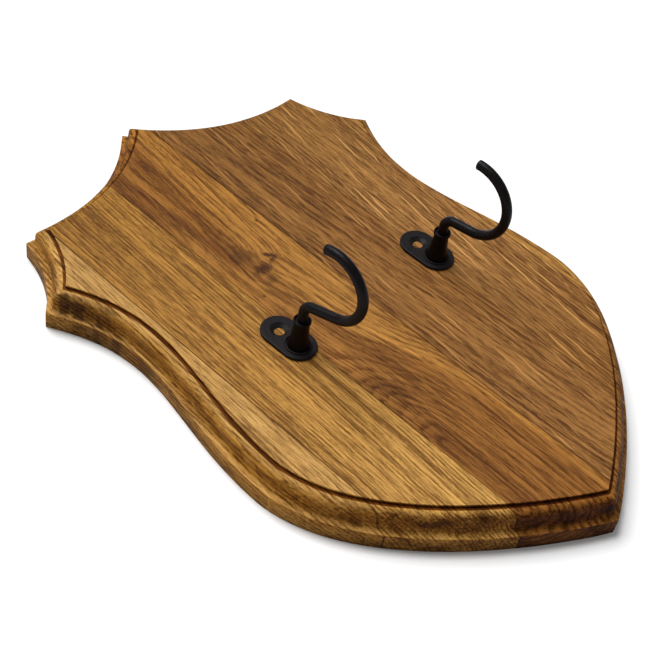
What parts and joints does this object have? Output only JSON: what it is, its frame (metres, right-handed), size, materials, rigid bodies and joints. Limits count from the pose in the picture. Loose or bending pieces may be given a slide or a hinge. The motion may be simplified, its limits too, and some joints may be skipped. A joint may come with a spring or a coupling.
{
  "type": "wall plaque with hooks",
  "caption": "Shield-shaped oak wall plaque with a moulded edge and black swivelling J-hooks that cradle a sword, tool or other long object.",
  "frame": {"origin": "centre of the board's back face, on the outline's bounding box", "axes": "+Z out of the show face, +Y towards the shield's crest, +X to the shield's right seen from the front"},
  "size_m": [0.2288, 0.3344, 0.093],
  "materials": {
    "oak": "oiled oak, satin",
    "black_steel": "satin black",
    "zinc_steel": "zinc plated, dull"
  },
  "bodies": {
    "plaque": {"stave_far_left": "oak", "stave_left": "oak", "stave_mid_left": "oak", "stave_mid_right": "oak", "stave_right": "oak", "stave_far_right": "oak", "base_plate_left": "black_steel", "base_plate_right": "black_steel", "ferrule_left": "black_steel", "ferrule_right": "black_steel", "washer_left": "zinc_steel", "washer_right": "zinc_steel", "hanger_plate": "zinc_steel", "hanger_screw_upper": "zinc_steel", "hanger_screw_lower": "zinc_steel"},
    "hook_left": {"hook_left": "black_steel", "lock_nut_left": "zinc_steel"},
    "hook_right": {"hook_right": "black_steel", "lock_nut_right": "zinc_steel"}
  },
  "joints": [
    {"name": "hook_swivel_left", "type": "hinge", "parent": "plaque", "child": "hook_left", "pos_m": [-0.0461, -0.0097, 0.022], "axis": [0, 0, 1], "continuous": true},
    {"name": "hook_swivel_right", "type": "hinge", "parent": "plaque", "child": "hook_right", "pos_m": [0.0515, -0.0117, 0.022], "axis": [0, 0, 1], "continuous": true}
  ]
}
